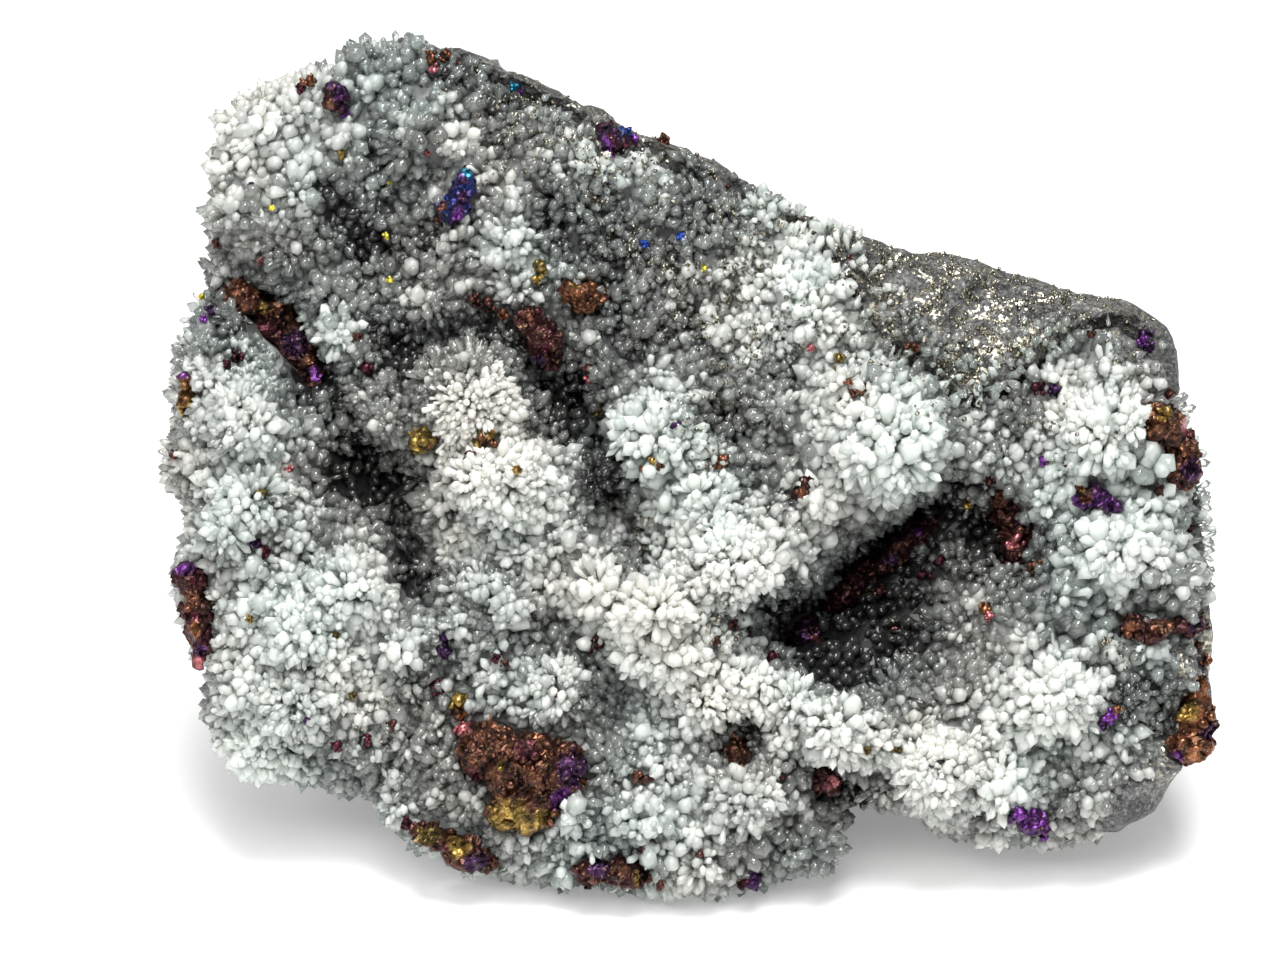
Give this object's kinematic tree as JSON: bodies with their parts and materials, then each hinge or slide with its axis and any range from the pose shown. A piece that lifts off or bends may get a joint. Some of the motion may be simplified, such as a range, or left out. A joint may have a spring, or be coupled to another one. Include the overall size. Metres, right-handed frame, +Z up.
{
  "type": "mineral specimen",
  "caption": "Leaning slab of grey rock with a bristling crust of small quartz crystals and tarnished metallic chalcopyrite masses, standing on a flat broken base.",
  "frame": {"origin": "middle of the bounding box, on the floor that the specimen stands on", "axes": "+X to the right across the crystal face, +Y to the back, +Z up; the crystal face leans back and looks towards -Y and up"},
  "size_m": [0.122, 0.068, 0.0907],
  "materials": {
    "grey_matrix": "rough broken rock with fine pale metallic grains",
    "quartz": "translucent, glassy crystal faces, milky inside",
    "chalcopyrite_bronze": "metallic, bronze-brown tarnish",
    "chalcopyrite_gold": "metallic, brassy gold",
    "chalcopyrite_maroon": "metallic, dark red-brown tarnish",
    "chalcopyrite_violet": "metallic, violet and pink tarnish",
    "chalcopyrite_blue": "metallic, blue tarnish"
  },
  "bodies": {
    "root": {"matrix_rock": "grey_matrix", "quartz_druse": "quartz", "chalcopyrite_lower_mass": "chalcopyrite_bronze", "chalcopyrite_lower_left": "chalcopyrite_gold", "chalcopyrite_bottom": "chalcopyrite_maroon", "chalcopyrite_left_edge": "chalcopyrite_bronze", "chalcopyrite_left_rim": "chalcopyrite_gold", "chalcopyrite_upper_left": "chalcopyrite_maroon", "chalcopyrite_blue_crystals": "chalcopyrite_blue", "chalcopyrite_top_left": "chalcopyrite_violet", "chalcopyrite_top_purple": "chalcopyrite_violet", "chalcopyrite_centre_dark": "chalcopyrite_maroon", "chalcopyrite_centre_bronze": "chalcopyrite_bronze", "chalcopyrite_gold_pair": "chalcopyrite_gold", "chalcopyrite_gold_left": "chalcopyrite_gold", "chalcopyrite_red_centre": "chalcopyrite_maroon", "chalcopyrite_right_edge": "chalcopyrite_bronze", "chalcopyrite_violet_right": "chalcopyrite_violet", "chalcopyrite_cavity_upper": "chalcopyrite_maroon", "chalcopyrite_cavity_lower": "chalcopyrite_maroon", "chalcopyrite_inner_right": "chalcopyrite_maroon", "chalcopyrite_right_bar": "chalcopyrite_bronze", "chalcopyrite_right_corner": "chalcopyrite_gold", "chalcopyrite_lower_bronze": "chalcopyrite_bronze", "chalcopyrite_lower_pink": "chalcopyrite_bronze", "chalcopyrite_lower_purple": "chalcopyrite_violet"}
  },
  "joints": []
}
